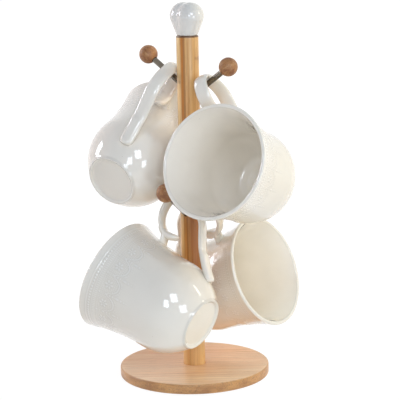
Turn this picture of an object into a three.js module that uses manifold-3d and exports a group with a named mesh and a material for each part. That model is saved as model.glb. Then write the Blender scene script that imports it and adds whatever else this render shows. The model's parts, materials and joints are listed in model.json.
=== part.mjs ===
// A countertop mug tree: a bamboo post on a round foot, four metal pegs with wooden ball ends,
// a ceramic heart knob on top, and four bell-shaped ceramic mugs hung by their handles.
// Millimetres, +Z up, origin at the centre of the footprint, on the worktop.
import * as THREE from 'three';
import { mergeVertices } from 'three/addons/utils/BufferGeometryUtils.js';
import Module from 'manifold-3d';

const wasm = await Module();
wasm.setup();

// ---- Driving dimensions ----------------------------------------------------------------

// Foot: a turned disc on four thin pads
const DISC_RADIUS = 65;
const DISC_THICKNESS = 8.7;
const DISC_EDGE_ROUND = 1.4;
const PAD_HEIGHT = 1.0;
const PAD_RADIUS = 6;
const PAD_CIRCLE_RADIUS = 52;
const PAD_COUNT = 4;

// Post: a round dowel let into the disc
const POST_RADIUS = 9.5;
const POST_TOP = 296.5;
const POST_CHAMFER = 0.7;
const POST_SOCKET_DEPTH = 3;

// Countersunk screw that holds the disc to the post
const SCREW_SHANK_RADIUS = 2;
const SCREW_HEAD_RADIUS = 4.4;
const SCREW_HEAD_HEIGHT = 2.6;
const SCREW_LENGTH = 32;
const SCREW_TIP_LENGTH = 5;
const SCREW_DRIVE_SIZE = 3;
const SCREW_DRIVE_DEPTH = 1.8;

// Pegs: straight metal rods screwed into the post, each with a wooden ball
const PEG_RADIUS = 2.5;
const PEG_RISE = 36.2 * THREE.MathUtils.DEG2RAD;
const PEG_REACH = 49.2;
const PEG_CHAMFER = 0.4;
const BALL_RADIUS = 8;
const BALL_BORE_DEPTH = 8.5;
const LOWER_TIER_HEIGHT = 130.4;
const TIER_STAGGER = 8.2;
const TIER_NESTING = 34.54;

// Heart knob on a dowel
const KNOB_HEIGHT = 28.2;
const KNOB_LOBE_RADIUS = 11.4;
const KNOB_LOBE_SPREAD = 4.4;
const KNOB_LOBE_BLEND = 1.6;
const KNOB_TAPER_RADIUS = 7.7;
const KNOB_TAPER_DEPTH = 2;
const KNOB_TURN = -33 * THREE.MathUtils.DEG2RAD;
const DOWEL_RADIUS = 4;
const DOWEL_LENGTH = 24;
const DOWEL_CHAMFER = 0.8;

// Mug, standing on its foot ring with the handle towards +X
const MUG_HEIGHT = 93.6;
const MUG_RIM_RADIUS = 49;
const MUG_BELLY_RADIUS = 40.8;
const MUG_BELLY_HEIGHT = 38;
const MUG_FOOT_RADIUS = 22.8;
const MUG_FOOT_RING_WIDTH = 2.6;
const MUG_FOOT_RECESS = 1.8;
const MUG_FOOT_BEVEL = 2.5;
const MUG_WALL = 3.8;
const MUG_LIP = 3.4;
const MUG_FLOOR = 6.2;
const MUG_FLOOR_DISH = 0.4;

// The bell's outline as bends: its heading there in degrees (0 outwards, 90 up), and the
// lengths over which it keeps to that heading before and after
const BELL_BENDS = {
  foot: { heading: 40.4, after: 11.6 },
  belly: { heading: 90, before: 16, after: 24 },
  rim: { heading: 69.3, before: 12.7 },
};

// Handle: a flat strap round a loop. Each leg ends inside the mug's wall.
const STRAP_WIDTH = 12.4;
const STRAP_THICKNESS = 4.6;
const STRAP_FLARE = 1.28;
const STRAP_FLARE_SHARE = 0.16;
const LOOP_RIM_ROOT = 66;
const LOOP_RIM_ROOT_DEPTH = 1;
const LOOP_EAR_HEIGHT = 83.6;
const LOOP_TOP_RADIUS = 82.3;
const LOOP_CORNER_HEIGHT = 12.6;
const LOOP_CORNER_WIDTH = 10.8;
const LOOP_ELBOW_HEIGHT = 43;
const LOOP_ELBOW_RADIUS = 69.5;
const LOOP_FOOT_ROOT = 12.5;
const LOOP_FOOT_ROOT_RADIUS = 32;
const LOOP_BENDS = {
  rimRoot: { heading: 28, after: 11.6 },
  ear: { heading: 0, before: 14.5, after: 7.5 },
  top: { heading: -90, before: 8, after: 13 },
  elbow: { heading: -150.6, before: 9.8, after: 14.3 },
  footRoot: { heading: -127, before: 20.7 },
};

// Thumb curl: a tapered finger that goes on from the inside of the loop
const CURL_ROOT_RADIUS = 54;
const CURL_ROOT_HEIGHT = 78;
const CURL_BACK = 5.4;
const CURL_LENGTH = 18.2;
const CURL_TIP_OUT = 2.4;
const CURL_WIDTH = 9;
const CURL_THICKNESS = 5;
const CURL_TAPER = 0.3;

// How a mug hangs on its peg
const HANG_TILT = 20.5 * THREE.MathUtils.DEG2RAD;
const HANG_LEAN = 26 * THREE.MathUtils.DEG2RAD;
const HANG_YAW = -2.6 * THREE.MathUtils.DEG2RAD;
const HANG_DROP = 6.8;
const HANG_SLACK = 0.9;
const HANG_REACH = 22.9;

// Clearances, and how far a cutting shape stands out of the piece it cuts
const FIT = 0.2;
const END_GAP = 0.3;
const OVERCUT = 0.1;

// Roundness of the turned pieces
const SEGMENTS = { disc: 48, post: 28, screw: 12, pad: 16, peg: 12, dowel: 12, mug: 36 };

// The point on the middle of a mug's side where the rod runs under the loop.
const hookRadius = LOOP_TOP_RADIUS - STRAP_THICKNESS / 2 - PEG_RADIUS - HANG_SLACK;
const hookHeight = LOOP_EAR_HEIGHT - STRAP_THICKNESS / 2 - PEG_RADIUS - HANG_DROP;

// The upper tier stands high enough for its mugs to hang clear of the balls below, which
// reach up beside them by TIER_NESTING.
const mugDrop = hookRadius * Math.cos(HANG_TILT) * Math.cos(HANG_LEAN)
  + (hookHeight - MUG_BELLY_HEIGHT) * Math.sin(HANG_TILT)
  + MUG_BELLY_RADIUS * Math.cos(HANG_TILT)
  - HANG_REACH * Math.sin(PEG_RISE);
const ballRise = PEG_REACH * Math.sin(PEG_RISE) + BALL_RADIUS;
const UPPER_TIER_HEIGHT = LOWER_TIER_HEIGHT + TIER_STAGGER + ballRise + mugDrop - TIER_NESTING;

const PEGS = [
  { name: 'upper_left', azimuth: 148, height: UPPER_TIER_HEIGHT + TIER_STAGGER },
  { name: 'upper_right', azimuth: -32, height: UPPER_TIER_HEIGHT },
  { name: 'lower_front', azimuth: 238, height: LOWER_TIER_HEIGHT + TIER_STAGGER },
  { name: 'lower_back', azimuth: 58, height: LOWER_TIER_HEIGHT },
];

// ---- Solid helpers ---------------------------------------------------------------------

const v2 = (x, y) => new THREE.Vector2(x, y);

// A closed solid for cutting and joining, from any geometry.
function solid(geometry) {
  const bare = new THREE.BufferGeometry();
  bare.setAttribute('position', geometry.getAttribute('position').clone());
  if (geometry.index) bare.setIndex(geometry.index.clone());
  const merged = mergeVertices(bare, 1e-4);
  return new wasm.Manifold(new wasm.Mesh({
    numProp: 3,
    vertProperties: new Float32Array(merged.attributes.position.array),
    triVerts: new Uint32Array(merged.index.array),
  }));
}

function geometryOf(manifold) {
  const mesh = manifold.getMesh();
  const geometry = new THREE.BufferGeometry();
  geometry.setAttribute('position', new THREE.BufferAttribute(mesh.vertProperties, 3));
  geometry.setIndex(new THREE.BufferAttribute(mesh.triVerts, 1));
  const flat = geometry.toNonIndexed();
  flat.computeVertexNormals();
  return flat;
}

// A turned solid about Z. The profile is (radius, height) points, from the lower axis end
// round the outside to the upper one, or a closed loop run the same way.
function turned(profile, segments) {
  return new THREE.LatheGeometry(profile, segments).rotateX(Math.PI / 2);
}

// A cylinder about Z between two heights.
function rod(radius, low, high, segments) {
  return turned([v2(0, low), v2(radius, low), v2(radius, high), v2(0, high)], segments);
}

// A closed skin through rings of equal point count, with flat ends.
function loft(rings) {
  const count = rings[0].length;
  const positions = rings.flat().flatMap((p) => [p.x, p.y, p.z]);
  const index = [];
  for (let i = 0; i < rings.length - 1; i += 1) {
    for (let j = 0; j < count; j += 1) {
      const a = i * count + j;
      const b = i * count + ((j + 1) % count);
      index.push(a, b, a + count, b, b + count, a + count);
    }
  }
  const last = (rings.length - 1) * count;
  for (let j = 1; j < count - 1; j += 1) {
    index.push(0, j + 1, j, last, last + j, last + j + 1);
  }
  const geometry = new THREE.BufferGeometry();
  geometry.setAttribute('position', new THREE.Float32BufferAttribute(positions, 3));
  geometry.setIndex(index);
  return geometry;
}

// A strap along a curve in the XZ plane. sizeAt(t) gives [width along Y, thickness].
function strap(curve, stations, sizeAt, corners = 12, squareness = 0.72) {
  const rings = [];
  for (let i = 0; i <= stations; i += 1) {
    const t = i / stations;
    const point = curve.getPoint(t);
    const tangent = curve.getTangent(t);
    const [width, thickness] = sizeAt(t);
    const ring = [];
    for (let j = 0; j < corners; j += 1) {
      const angle = ((j + 0.5) / corners) * 2 * Math.PI;
      const across = Math.sign(Math.sin(angle)) * Math.abs(Math.sin(angle)) ** squareness;
      const out = Math.sign(Math.cos(angle)) * Math.abs(Math.cos(angle)) ** squareness;
      ring.push(new THREE.Vector3(
        point.x + tangent.y * out * thickness / 2,
        across * width / 2,
        point.y - tangent.x * out * thickness / 2,
      ));
    }
    rings.push(ring);
  }
  return loft(rings);
}

function material(color, roughness, metalness = 0) {
  return new THREE.MeshStandardMaterial({ color, roughness, metalness });
}

const finishes = {
  bamboo: () => material(0xd8a86c, 0.5),
  stainedWood: () => material(0x9c6b4a, 0.55),
  ceramic: () => material(0xece8e0, 0.15),
  gunmetal: () => material(0x6d6358, 0.25, 1),
  steel: () => material(0xa9abad, 0.35, 1),
  rubber: () => material(0x2e2c2a, 0.9),
};

function piece(name, geometry, finish) {
  const mesh = new THREE.Mesh(geometry, finish());
  mesh.name = name;
  return mesh;
}

// ---- Foot, post and fixings ------------------------------------------------------------

const discBottom = PAD_HEIGHT;
const discTop = PAD_HEIGHT + DISC_THICKNESS;
const postBottom = discTop - POST_SOCKET_DEPTH;
const screwHeadBottom = discBottom + END_GAP;
const screwTop = screwHeadBottom + SCREW_LENGTH;

// A quarter round as profile points, between two directions given in quarter turns.
function quarterRound(radius, height, round, fromQuarter, steps = 2) {
  const points = [];
  for (let i = 0; i <= steps; i += 1) {
    const angle = (fromQuarter + i / steps) * Math.PI / 2;
    points.push(v2(radius + round * Math.cos(angle), height + round * Math.sin(angle)));
  }
  return points;
}

function baseDisc() {
  const bore = SCREW_SHANK_RADIUS + FIT;
  const sink = SCREW_HEAD_RADIUS + FIT;
  const edge = DISC_RADIUS - DISC_EDGE_ROUND;
  const socket = POST_RADIUS + FIT;
  const sinkTop = screwHeadBottom + SCREW_HEAD_HEIGHT + FIT;
  const profile = [
    v2(sink, discBottom),
    ...quarterRound(edge, discBottom + DISC_EDGE_ROUND, DISC_EDGE_ROUND, -1),
    ...quarterRound(edge, discTop - DISC_EDGE_ROUND, DISC_EDGE_ROUND, 0),
    v2(socket, discTop),
    v2(socket, postBottom),
    v2(bore, postBottom),
    v2(bore, sinkTop),
    v2(sink, screwHeadBottom),
    v2(sink, discBottom),
  ];
  return piece('base_disc', turned(profile, SEGMENTS.disc), finishes.bamboo);
}

function footPads() {
  const pads = [];
  for (let i = 0; i < PAD_COUNT; i += 1) {
    const angle = ((i + 0.5) / PAD_COUNT) * 2 * Math.PI;
    const pad = piece(`foot_pad_${i + 1}`, rod(PAD_RADIUS, 0, PAD_HEIGHT, SEGMENTS.pad), finishes.rubber);
    pad.position.set(PAD_CIRCLE_RADIUS * Math.cos(angle), PAD_CIRCLE_RADIUS * Math.sin(angle), 0);
    pads.push(pad);
  }
  return pads;
}

// The direction of a peg's rod, outwards and up from the post's axis.
function pegDirection(peg) {
  const azimuth = peg.azimuth * THREE.MathUtils.DEG2RAD;
  return new THREE.Vector3(
    Math.cos(azimuth) * Math.cos(PEG_RISE),
    Math.sin(azimuth) * Math.cos(PEG_RISE),
    Math.sin(PEG_RISE),
  );
}

// Turns a geometry made along Z so that it lies along a peg, from the post's axis outwards.
function alongPeg(geometry, peg) {
  const turn = new THREE.Quaternion().setFromUnitVectors(new THREE.Vector3(0, 0, 1), pegDirection(peg));
  return geometry.applyQuaternion(turn).translate(0, 0, peg.height);
}

function post() {
  const pilot = SCREW_SHANK_RADIUS + FIT;
  const dowelBore = DOWEL_RADIUS + FIT;
  const dowelFloor = POST_TOP - DOWEL_LENGTH / 2 - END_GAP;
  const pilotTop = screwTop + END_GAP;
  const profile = [
    v2(0, pilotTop),
    v2(pilot, pilotTop),
    v2(pilot, postBottom),
    v2(POST_RADIUS - POST_CHAMFER, postBottom),
    v2(POST_RADIUS, postBottom + POST_CHAMFER),
    v2(POST_RADIUS, POST_TOP - POST_CHAMFER),
    v2(POST_RADIUS - POST_CHAMFER, POST_TOP),
    v2(dowelBore, POST_TOP),
    v2(dowelBore, dowelFloor),
    v2(0, dowelFloor),
  ];
  let body = solid(turned(profile, SEGMENTS.post));
  for (const peg of PEGS) {
    const hole = rod(PEG_RADIUS + FIT, -END_GAP, 2 * POST_RADIUS, SEGMENTS.peg);
    body = body.subtract(solid(alongPeg(hole, peg)));
  }
  return piece('post', geometryOf(body), finishes.bamboo);
}

function baseScrew() {
  const head = screwHeadBottom + SCREW_HEAD_HEIGHT;
  const profile = [
    v2(0, screwHeadBottom),
    v2(SCREW_HEAD_RADIUS, screwHeadBottom),
    v2(SCREW_SHANK_RADIUS, head),
    v2(SCREW_SHANK_RADIUS, screwTop - SCREW_TIP_LENGTH),
    v2(0, screwTop),
  ];
  const drive = new THREE.CylinderGeometry(
    SCREW_DRIVE_SIZE / 2, SCREW_DRIVE_SIZE / 2, 2 * SCREW_DRIVE_DEPTH, 6,
  ).rotateX(Math.PI / 2).translate(0, 0, screwHeadBottom);
  const body = solid(turned(profile, SEGMENTS.screw)).subtract(solid(drive));
  return piece('base_screw', geometryOf(body), finishes.steel);
}

// ---- Pegs ------------------------------------------------------------------------------

const pegEnd = PEG_REACH - BALL_RADIUS + BALL_BORE_DEPTH;

function pegRod(peg) {
  const profile = [
    v2(0, 0),
    v2(PEG_RADIUS - PEG_CHAMFER, 0),
    v2(PEG_RADIUS, PEG_CHAMFER),
    v2(PEG_RADIUS, pegEnd - PEG_CHAMFER),
    v2(PEG_RADIUS - PEG_CHAMFER, pegEnd),
    v2(0, pegEnd),
  ];
  const geometry = alongPeg(turned(profile, SEGMENTS.peg), peg);
  return piece(`peg_rod_${peg.name}`, geometry, finishes.gunmetal);
}

function pegBall(peg) {
  const ball = new THREE.SphereGeometry(BALL_RADIUS, 16, 10).rotateX(Math.PI / 2).translate(0, 0, PEG_REACH);
  const bore = rod(PEG_RADIUS + FIT, PEG_REACH - 2 * BALL_RADIUS, pegEnd + END_GAP, SEGMENTS.peg);
  const body = geometryOf(solid(ball).subtract(solid(bore)));
  return piece(`peg_ball_${peg.name}`, alongPeg(body, peg), finishes.stainedWood);
}

// ---- Heart knob ------------------------------------------------------------------------

// Distance to a cone with round ends, from a wide ball at a down to a narrow one at b.
function roundCone(p, a, b, radiusA, radiusB) {
  const axis = b.clone().sub(a);
  const along = THREE.MathUtils.clamp(p.clone().sub(a).dot(axis) / axis.lengthSq(), 0, 1);
  const centre = a.clone().addScaledVector(axis, along);
  return p.distanceTo(centre) - THREE.MathUtils.lerp(radiusA, radiusB, along);
}

function smoothMin(a, b, blend) {
  const h = Math.max(blend - Math.abs(a - b), 0) / blend;
  return Math.min(a, b) - h * h * blend / 4;
}

// Two lobes side by side that run down into one round neck.
function heartDistance(p) {
  const lobeHeight = KNOB_HEIGHT - KNOB_LOBE_RADIUS;
  const lobe = (side) => roundCone(
    p,
    new THREE.Vector3(side * KNOB_LOBE_SPREAD, 0, lobeHeight),
    new THREE.Vector3(0, 0, -KNOB_TAPER_DEPTH),
    KNOB_LOBE_RADIUS,
    KNOB_TAPER_RADIUS,
  );
  return smoothMin(lobe(-1), lobe(1), KNOB_LOBE_BLEND);
}

function knob() {
  const heart = new THREE.Vector3(0, 0, KNOB_HEIGHT * 0.5);
  const geometry = new THREE.SphereGeometry(1, 28, 16).rotateX(Math.PI / 2);
  const position = geometry.getAttribute('position');
  const direction = new THREE.Vector3();
  for (let i = 0; i < position.count; i += 1) {
    direction.fromBufferAttribute(position, i).normalize();
    let near = 0;
    let far = 2 * KNOB_HEIGHT;
    for (let step = 0; step < 40; step += 1) {
      const middle = (near + far) / 2;
      if (heartDistance(heart.clone().addScaledVector(direction, middle)) < 0) near = middle;
      else far = middle;
    }
    position.setXYZ(i, ...heart.clone().addScaledVector(direction, near).toArray());
  }
  const dowelBore = rod(DOWEL_RADIUS + FIT, -KNOB_HEIGHT, DOWEL_LENGTH / 2 + END_GAP, SEGMENTS.dowel);
  const below = rod(2 * KNOB_HEIGHT, -2 * KNOB_HEIGHT, 0, SEGMENTS.dowel);
  const body = solid(geometry).subtract(solid(below)).subtract(solid(dowelBore));
  const mesh = piece('knob', geometryOf(body), finishes.ceramic);
  mesh.position.z = POST_TOP;
  mesh.rotation.z = KNOB_TURN;
  return mesh;
}

function knobDowel() {
  const low = POST_TOP - DOWEL_LENGTH / 2;
  const high = low + DOWEL_LENGTH;
  const profile = [
    v2(0, low),
    v2(DOWEL_RADIUS - DOWEL_CHAMFER, low),
    v2(DOWEL_RADIUS, low + DOWEL_CHAMFER),
    v2(DOWEL_RADIUS, high - DOWEL_CHAMFER),
    v2(DOWEL_RADIUS - DOWEL_CHAMFER, high),
    v2(0, high),
  ];
  return piece('knob_dowel', turned(profile, SEGMENTS.dowel), finishes.bamboo);
}

// ---- Mugs ------------------------------------------------------------------------------

// A smooth curve through knots. Each knot has a place, a heading in degrees (0 outwards,
// 90 up), and the lengths over which the curve keeps to that heading before and after it.
function throughKnots(knots) {
  const beside = (knot, length) => {
    const heading = knot.heading * THREE.MathUtils.DEG2RAD;
    return v2(knot.radius + length * Math.cos(heading), knot.height + length * Math.sin(heading));
  };
  const path = new THREE.CurvePath();
  for (let i = 1; i < knots.length; i += 1) {
    const [from, to] = [knots[i - 1], knots[i]];
    path.add(new THREE.CubicBezierCurve(
      beside(from, 0), beside(from, from.after), beside(to, -to.before), beside(to, 0),
    ));
  }
  return path;
}

// The bell: full below, nearly straight at the waist, flared to the rim.
function mugOutside() {
  const footRadius = MUG_FOOT_RADIUS + MUG_FOOT_BEVEL / 2;
  const [lower, upper] = throughKnots([
    { radius: footRadius, height: MUG_FOOT_BEVEL, ...BELL_BENDS.foot },
    { radius: MUG_BELLY_RADIUS, height: MUG_BELLY_HEIGHT, ...BELL_BENDS.belly },
    { radius: MUG_RIM_RADIUS, height: MUG_HEIGHT - MUG_LIP / 2, ...BELL_BENDS.rim },
  ]).curves;
  return { lower, upper };
}

function mugBody() {
  const { lower, upper } = mugOutside();
  const ringInner = MUG_FOOT_RADIUS - MUG_FOOT_RING_WIDTH;
  const lipCentre = MUG_RIM_RADIUS - MUG_LIP / 2;
  const outline = [
    v2(0, MUG_FOOT_RECESS),
    v2(ringInner - MUG_FOOT_RECESS, MUG_FOOT_RECESS),
    v2(ringInner, 0),
    v2(MUG_FOOT_RADIUS, 0),
    ...lower.getPoints(4),
    ...upper.getPoints(4).slice(1),
    ...quarterRound(lipCentre, MUG_HEIGHT - MUG_LIP / 2, MUG_LIP / 2, 0).slice(1),
    v2(0, MUG_HEIGHT),
  ];
  return solid(turned(outline, SEGMENTS.mug));
}

// The hollow follows the outside at the wall's thickness, and opens out above the rim.
function mugHollow() {
  const { lower, upper } = mugOutside();
  const inside = (curve, t) => {
    const point = curve.getPoint(t);
    const tangent = curve.getTangent(t);
    return v2(point.x - tangent.y * MUG_WALL, point.y + tangent.x * MUG_WALL);
  };
  const walls = [
    ...[0.35, 0.55, 0.8].map((t) => inside(lower, t)),
    ...[0.05, 0.35, 0.65, 0.9].map((t) => inside(upper, t)),
  ];
  const outline = [
    v2(0, MUG_FLOOR),
    v2(walls[0].x * 0.72, MUG_FLOOR + MUG_FLOOR_DISH),
    ...walls,
    v2(MUG_RIM_RADIUS - MUG_LIP, MUG_HEIGHT - MUG_LIP / 2),
    v2(MUG_RIM_RADIUS - MUG_LIP * 0.6, MUG_HEIGHT + OVERCUT),
    v2(0, MUG_HEIGHT + OVERCUT),
  ];
  return solid(turned(outline, SEGMENTS.mug));
}

// The middle of the strap, from the rim leg over the ear and the top to the foot leg.
function handlePath() {
  return throughKnots([
    { radius: MUG_BELLY_RADIUS - LOOP_RIM_ROOT_DEPTH, height: LOOP_RIM_ROOT, ...LOOP_BENDS.rimRoot },
    { radius: LOOP_TOP_RADIUS - LOOP_CORNER_WIDTH, height: LOOP_EAR_HEIGHT, ...LOOP_BENDS.ear },
    { radius: LOOP_TOP_RADIUS, height: LOOP_EAR_HEIGHT - LOOP_CORNER_HEIGHT, ...LOOP_BENDS.top },
    { radius: LOOP_ELBOW_RADIUS, height: LOOP_ELBOW_HEIGHT, ...LOOP_BENDS.elbow },
    { radius: LOOP_FOOT_ROOT_RADIUS, height: LOOP_FOOT_ROOT, ...LOOP_BENDS.footRoot },
  ]);
}

function mugHandle() {
  const path = handlePath();
  const flare = (t) => {
    const fromEnd = Math.min(t, 1 - t) / STRAP_FLARE_SHARE;
    return 1 + (STRAP_FLARE - 1) * Math.max(1 - fromEnd, 0) ** 2;
  };
  return solid(strap(path, 18, (t) => [STRAP_WIDTH * flare(t), STRAP_THICKNESS * flare(t)]));
}

// The curl hangs free from the rim leg, with open space between it and the wall.
function mugCurl() {
  const root = v2(CURL_ROOT_RADIUS, CURL_ROOT_HEIGHT);
  const path = new THREE.QuadraticBezierCurve(
    root,
    v2(root.x - CURL_BACK, root.y - CURL_LENGTH / 2),
    v2(root.x - CURL_TIP_OUT, root.y - CURL_LENGTH),
  );
  const taper = (t) => 1 - CURL_TAPER * t;
  return solid(strap(path, 5, (t) => [CURL_WIDTH * taper(t), CURL_THICKNESS * taper(t)], 10));
}

function mugGeometry() {
  const whole = mugBody().add(mugHandle()).add(mugCurl()).subtract(mugHollow());
  return geometryOf(whole);
}

// Where a hung mug's own frame lies, in the frame of its peg (X outwards, Z up).
function hungFrame() {
  const yaw = -Math.PI / 2 + HANG_YAW;
  const axis = new THREE.Vector3(
    Math.cos(yaw) * Math.cos(HANG_TILT), Math.sin(yaw) * Math.cos(HANG_TILT), Math.sin(HANG_TILT),
  );
  const toPost = new THREE.Vector3(Math.sin(yaw), -Math.cos(yaw), 0);
  const upright = toPost.clone().cross(axis).normalize();
  const handle = upright.multiplyScalar(Math.cos(HANG_LEAN)).addScaledVector(toPost, Math.sin(HANG_LEAN));
  const side = axis.clone().cross(handle);
  return new THREE.Matrix4().makeBasis(handle, side, axis);
}

function hungMug(peg, geometry) {
  const frame = hungFrame();
  const hook = new THREE.Vector3(hookRadius, 0, hookHeight).applyMatrix4(frame);
  const group = new THREE.Group();
  group.position.z = peg.height;
  group.rotation.z = peg.azimuth * THREE.MathUtils.DEG2RAD;
  const mesh = piece(`mug_${peg.name}`, geometry, finishes.ceramic);
  mesh.quaternion.setFromRotationMatrix(frame);
  mesh.position.set(HANG_REACH * Math.cos(PEG_RISE), 0, HANG_REACH * Math.sin(PEG_RISE)).sub(hook);
  group.add(mesh);
  return group;
}

// ---- Assembly --------------------------------------------------------------------------

const mugTree = new THREE.Group();
mugTree.add(baseDisc(), ...footPads(), post(), baseScrew(), knob(), knobDowel());
const mugShape = mugGeometry();
for (const peg of PEGS) {
  mugTree.add(pegRod(peg), pegBall(peg), hungMug(peg, mugShape));
}

export default mugTree;
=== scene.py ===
"""Countertop mug tree: bamboo stand, metal pegs with wooden balls, heart knob and four hung mugs."""

import json
import math

import bpy
import numpy as np
from mathutils import Matrix, Vector


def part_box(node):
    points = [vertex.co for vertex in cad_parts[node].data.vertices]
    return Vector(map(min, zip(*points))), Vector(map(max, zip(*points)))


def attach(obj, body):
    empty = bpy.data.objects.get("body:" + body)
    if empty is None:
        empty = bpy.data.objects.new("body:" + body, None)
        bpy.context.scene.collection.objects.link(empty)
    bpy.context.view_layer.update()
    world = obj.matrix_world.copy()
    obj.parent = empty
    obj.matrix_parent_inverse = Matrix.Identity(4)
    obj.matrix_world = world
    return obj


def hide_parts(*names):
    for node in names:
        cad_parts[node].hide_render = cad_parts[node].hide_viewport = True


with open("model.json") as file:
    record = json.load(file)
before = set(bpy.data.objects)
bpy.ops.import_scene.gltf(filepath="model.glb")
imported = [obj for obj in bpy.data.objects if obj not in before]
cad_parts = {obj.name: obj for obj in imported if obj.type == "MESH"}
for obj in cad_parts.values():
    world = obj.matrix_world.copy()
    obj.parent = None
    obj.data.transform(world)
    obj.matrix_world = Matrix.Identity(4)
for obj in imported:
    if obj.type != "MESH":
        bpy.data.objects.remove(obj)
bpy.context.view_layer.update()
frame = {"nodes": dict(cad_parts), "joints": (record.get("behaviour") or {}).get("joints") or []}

MM = 0.001
TURN = 2 * math.pi


# ---- Skins ----


def ring(radius, height, count):
    """A level circle of points about Z, or the single point where a turned piece closes."""
    if radius == 0:
        return np.array([[0.0, 0.0, height]])
    angle = np.arange(count) / count * TURN
    return np.stack([radius * np.cos(angle), radius * np.sin(angle), np.full(count, height)], 1)


def band(first, count_a, second, count_b):
    """Faces between two neighbouring rings, which may have 1, n or 2n points."""
    if count_a == count_b:
        near = np.arange(count_a)
        far = np.roll(near, -1)
        return np.stack([first + near, first + far, second + far, second + near], 1).tolist()
    if count_a == 1 or count_b == 1:
        count = max(count_a, count_b)
        near = np.arange(count)
        far = np.roll(near, -1)
        if count_a == 1:
            return np.stack([np.full(count, first), second + far, second + near], 1).tolist()
        return np.stack([first + near, first + far, np.full(count, second)], 1).tolist()
    coarse, fine = (first, second) if count_a < count_b else (second, first)
    near = np.arange(min(count_a, count_b))
    far = np.roll(near, -1)
    a, b = coarse + near, coarse + far
    low, middle, high = fine + 2 * near, fine + 2 * near + 1, fine + 2 * far
    faces = [(a, middle, low), (a, b, middle), (b, high, middle)]
    if count_a > count_b:
        faces = [(p, r, q) for p, q, r in faces]
    return [row for face in faces for row in np.stack(face, 1).tolist()]


def skin(rings, closed=False):
    """Points and faces of a skin through rings, lowest first as seen from outside."""
    starts = np.cumsum([0] + [len(r) for r in rings])
    pairs = list(zip(range(len(rings) - 1), range(1, len(rings))))
    if closed:
        pairs.append((len(rings) - 1, 0))
    faces = []
    for a, b in pairs:
        faces += band(starts[a], len(rings[a]), starts[b], len(rings[b]))
    return np.concatenate(rings), faces


def new_piece(name, points, faces):
    """An object from points in millimetres."""
    mesh = bpy.data.meshes.new(name)
    mesh.from_pydata((np.asarray(points) * MM).tolist(), [], faces)
    mesh.validate()
    piece = bpy.data.objects.new(name, mesh)
    bpy.context.scene.collection.objects.link(piece)
    return piece


def turned(name, outline, count, closed=False):
    """A turned piece about Z from (radius, height) points, run round the outside going up."""
    return new_piece(name, *skin([ring(r, z, count) for r, z in outline], closed))


def arc(centre, radius, start, end, steps):
    """Points on a circle of a profile, angles in degrees."""
    return [
        (centre[0] + radius * math.cos(math.radians(a)), centre[1] + radius * math.sin(math.radians(a)))
        for a in np.linspace(start, end, steps)
    ]


def bezier(points, t):
    """A cubic's points at the parameters t."""
    p = np.asarray(points, float)
    t = np.asarray(t)[:, None]
    return (1 - t) ** 3 * p[0] + 3 * (1 - t) ** 2 * t * p[1] + 3 * (1 - t) * t**2 * p[2] + t**3 * p[3]


def combine(piece, others, operation):
    """Joins or cuts closed pieces, and throws the others away."""
    for other in others:
        step = piece.modifiers.new("step", "BOOLEAN")
        step.operation, step.solver, step.object = operation, "MANIFOLD", other
    bpy.context.view_layer.update()
    depsgraph = bpy.context.evaluated_depsgraph_get()
    mesh = bpy.data.meshes.new_from_object(piece.evaluated_get(depsgraph), depsgraph=depsgraph)
    piece.modifiers.clear()
    piece.data = mesh
    for other in others:
        bpy.data.objects.remove(other)


def soften(piece, angle):
    """Smooth shading that keeps edges sharper than the angle, in degrees."""
    mesh = piece.data
    mesh.polygons.foreach_set("use_smooth", [True] * len(mesh.polygons))
    mesh.set_sharp_from_angle(angle=math.radians(angle))


# ---- Finishes ----


def tint(red, green, blue):
    """A colour in display numbers from 0 to 255, as the shader's own numbers."""
    shares = (red / 255, green / 255, blue / 255)
    return (*[c / 12.92 if c <= 0.04045 else ((c + 0.055) / 1.055) ** 2.4 for c in shares], 1.0)


class Value:
    """A number that changes over a surface, so that a finish can be written as arithmetic."""

    def __init__(self, nodes, socket):
        self.nodes, self.socket = nodes, socket

    def _math(self, operation, *terms):
        return self.nodes.node("ShaderNodeMath", {"operation": operation}, dict(enumerate(terms)))

    def __add__(self, other):
        return self._math("ADD", self, other)

    def __sub__(self, other):
        return self._math("SUBTRACT", self, other)

    def __rsub__(self, other):
        return self._math("SUBTRACT", other, self)

    def __mul__(self, other):
        return self._math("MULTIPLY", self, other)

    def __truediv__(self, other):
        return self._math("DIVIDE", self, other)

    __radd__ = __add__
    __rmul__ = __mul__

    def floor(self):
        return self._math("FLOOR", self)

    def fraction(self):
        return self._math("FRACT", self)

    def size(self):
        return self._math("ABSOLUTE", self)

    def larger(self, other):
        return self._math("MAXIMUM", self, other)

    def sine(self):
        return self._math("SINE", self)

    def rise(self, low, high):
        """0 below low, 1 above high, and a smooth step between; low may be the larger."""
        start, end = (1.0, 0.0) if low > high else (0.0, 1.0)
        inputs = {"Value": self, "From Min": min(low, high), "From Max": max(low, high)}
        inputs.update({"To Min": start, "To Max": end})
        return self.nodes.node("ShaderNodeMapRange", {"interpolation_type": "SMOOTHSTEP"}, inputs)


class Nodes:
    """A tree of nodes: one call adds a node and gives one of its outputs as a Value."""

    def __init__(self, tree):
        self.tree = tree

    def feed(self, socket, value):
        if isinstance(value, Value):
            self.tree.links.new(value.socket, socket)
        else:
            socket.default_value = value

    def node(self, kind, settings=None, inputs=None, output=0):
        """Adds a node: its settings first, then its sockets."""
        made = self.tree.nodes.new(kind)
        for key, value in (settings or {}).items():
            setattr(made, key, value)
        for key, value in (inputs or {}).items():
            self.feed(made.inputs[key], value)
        return Value(self, made.outputs[output])

    def seen(self):
        """1 for what the camera, a mirror or glass sees, and 0 where only light arrives."""
        camera, mirror, glass = (
            self.node("ShaderNodeLightPath", output=f"Is {kind} Ray")
            for kind in ("Camera", "Glossy", "Transmission")
        )
        return camera.larger(mirror).larger(glass)


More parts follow.
